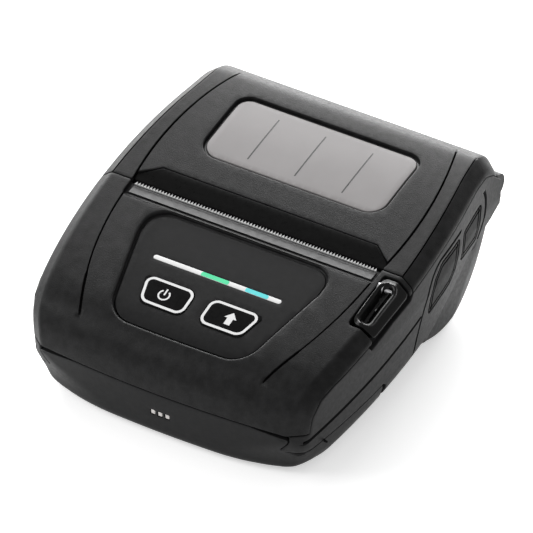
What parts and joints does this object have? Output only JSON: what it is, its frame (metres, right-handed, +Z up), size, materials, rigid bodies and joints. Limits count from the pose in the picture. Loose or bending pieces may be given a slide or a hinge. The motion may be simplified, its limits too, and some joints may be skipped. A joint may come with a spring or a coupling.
{
  "type": "portable receipt printer",
  "caption": "Hand-held thermal receipt printer with a hinged paper lid, tear bar, control panel, side release lever, gear driven platen and removable battery.",
  "frame": {"origin": "middle of the footprint, on the table the feet stand on", "axes": "+Z up, -Y towards the front with the control panel, +X towards the side with the lid lever"},
  "size_m": [0.106, 0.1218, 0.049],
  "materials": {
    "side_grey": "smooth satin moulding",
    "top_black": "fine grained matt moulding with glossy edge bands",
    "window_smoke": "smoked clear plastic",
    "seal_black": "soft black",
    "grip_black": "smooth satin",
    "steel": "bright stamped or turned",
    "panel_black": "smooth matt film",
    "light_grey": "translucent light pipe",
    "button_black": "smooth matt with pale printed signs",
    "board_green": "solder masked board",
    "led_lens": "clear lens",
    "part_black": "moulded",
    "ivory_plastic": "natural acetal",
    "head_ceramic": "glazed",
    "aluminium": "extruded",
    "amber_film": "polyimide film",
    "brass": "turned",
    "platen_rubber": "ground rubber",
    "gloss_black": "glossy moulding",
    "gold": "plated",
    "cover_rubber": "satin flexible moulding",
    "feet_rubber": "soft rubber"
  },
  "bodies": {
    "housing": {"lower_housing": "side_grey", "front_cover": "top_black", "bottom_tray": "side_grey", "tear_bar": "steel", "control_panel": "panel_black", "light_guide": "light_grey", "control_board": "board_green", "button_switches": "steel", "status_leds": "led_lens", "main_board": "board_green", "wireless_module": "steel", "buzzer": "part_black", "flex_connector": "ivory_plastic", "print_head": "head_ceramic", "heat_sink": "aluminium", "head_bracket": "steel", "head_springs": "steel", "ribbon_cable": "amber_film", "stepper_motor": "steel", "gear_plate": "steel", "idler_pin": "steel", "hinge_pins": "steel", "lever_pin": "steel", "lever_spring": "steel", "battery_contacts": "gold", "charging_contacts": "gold", "usb_socket": "steel", "dc_jack": "part_black", "paper_sensor": "part_black", "board_screws": "steel", "housing_screws": "steel", "rubber_feet": "feet_rubber"},
    "lid": {"lid_shell": "top_black", "lid_window": "window_smoke", "window_seal": "seal_black", "lid_grip": "grip_black", "platen_bushings": "ivory_plastic"},
    "platen": {"platen_roller": "platen_rubber", "platen_shaft": "steel", "platen_gear": "ivory_plastic"},
    "idler": {"idler_gear": "ivory_plastic"},
    "pinion": {"motor_pinion": "brass"},
    "power_key": {"power_button": "button_black"},
    "feed_key": {"feed_button": "button_black"},
    "lever": {"open_lever": "gloss_black"},
    "battery": {"battery_pack": "part_black"},
    "data_port_cover": {"port_cover": "cover_rubber"},
    "jack_port_cover": {"jack_cover": "cover_rubber"}
  },
  "joints": [
    {"name": "lid_hinge", "type": "hinge", "parent": "housing", "child": "lid", "pos_m": [0, 0.0571, 0.0335], "axis": [-1, 0, 0], "range_deg": [0, 85]},
    {"name": "platen_spin", "type": "hinge", "parent": "lid", "child": "platen", "pos_m": [0, 0.0011, 0.0348], "axis": [1, 0, 0], "continuous": true},
    {"name": "idler_spin", "type": "hinge", "parent": "housing", "child": "idler", "pos_m": [0, -0.00739, 0.02631], "axis": [1, 0, 0], "continuous": true},
    {"name": "motor_spin", "type": "hinge", "parent": "housing", "child": "pinion", "pos_m": [0, -0.00878, 0.01641], "axis": [1, 0, 0], "continuous": true},
    {"name": "power_press", "type": "slide", "parent": "housing", "child": "power_key", "axis": [0, 0, -1], "range_m": [0, 0.0005], "stiffness_N_per_m": 400, "springref_m": -0.001},
    {"name": "feed_press", "type": "slide", "parent": "housing", "child": "feed_key", "axis": [0, 0, -1], "range_m": [0, 0.0005], "stiffness_N_per_m": 400, "springref_m": -0.001},
    {"name": "lever_lift", "type": "hinge", "parent": "housing", "child": "lever", "pos_m": [0, -0.0098, 0.0399], "axis": [-1, 0, 0], "range_deg": [0, 22], "stiffness_Nm_per_rad": 0.02, "springref_deg": -11.46},
    {"name": "battery_slide", "type": "slide", "parent": "housing", "child": "battery", "axis": [0, 0, -1], "range_m": [0, 0.02]},
    {"name": "data_cover_swing", "type": "hinge", "parent": "housing", "child": "data_port_cover", "pos_m": [0.05112, 0.0257, 0.0328], "axis": [0, 0, 1], "range_deg": [0, 95]},
    {"name": "jack_cover_swing", "type": "hinge", "parent": "housing", "child": "jack_port_cover", "pos_m": [0.04843, 0.0427, 0.0328], "axis": [0, 0, 1], "range_deg": [0, 95]}
  ],
  "couplings": [
    {"joint": "idler_spin", "follows": "platen_spin", "ratio": -0.71429},
    {"joint": "motor_spin", "follows": "platen_spin", "ratio": 1.6667}
  ]
}
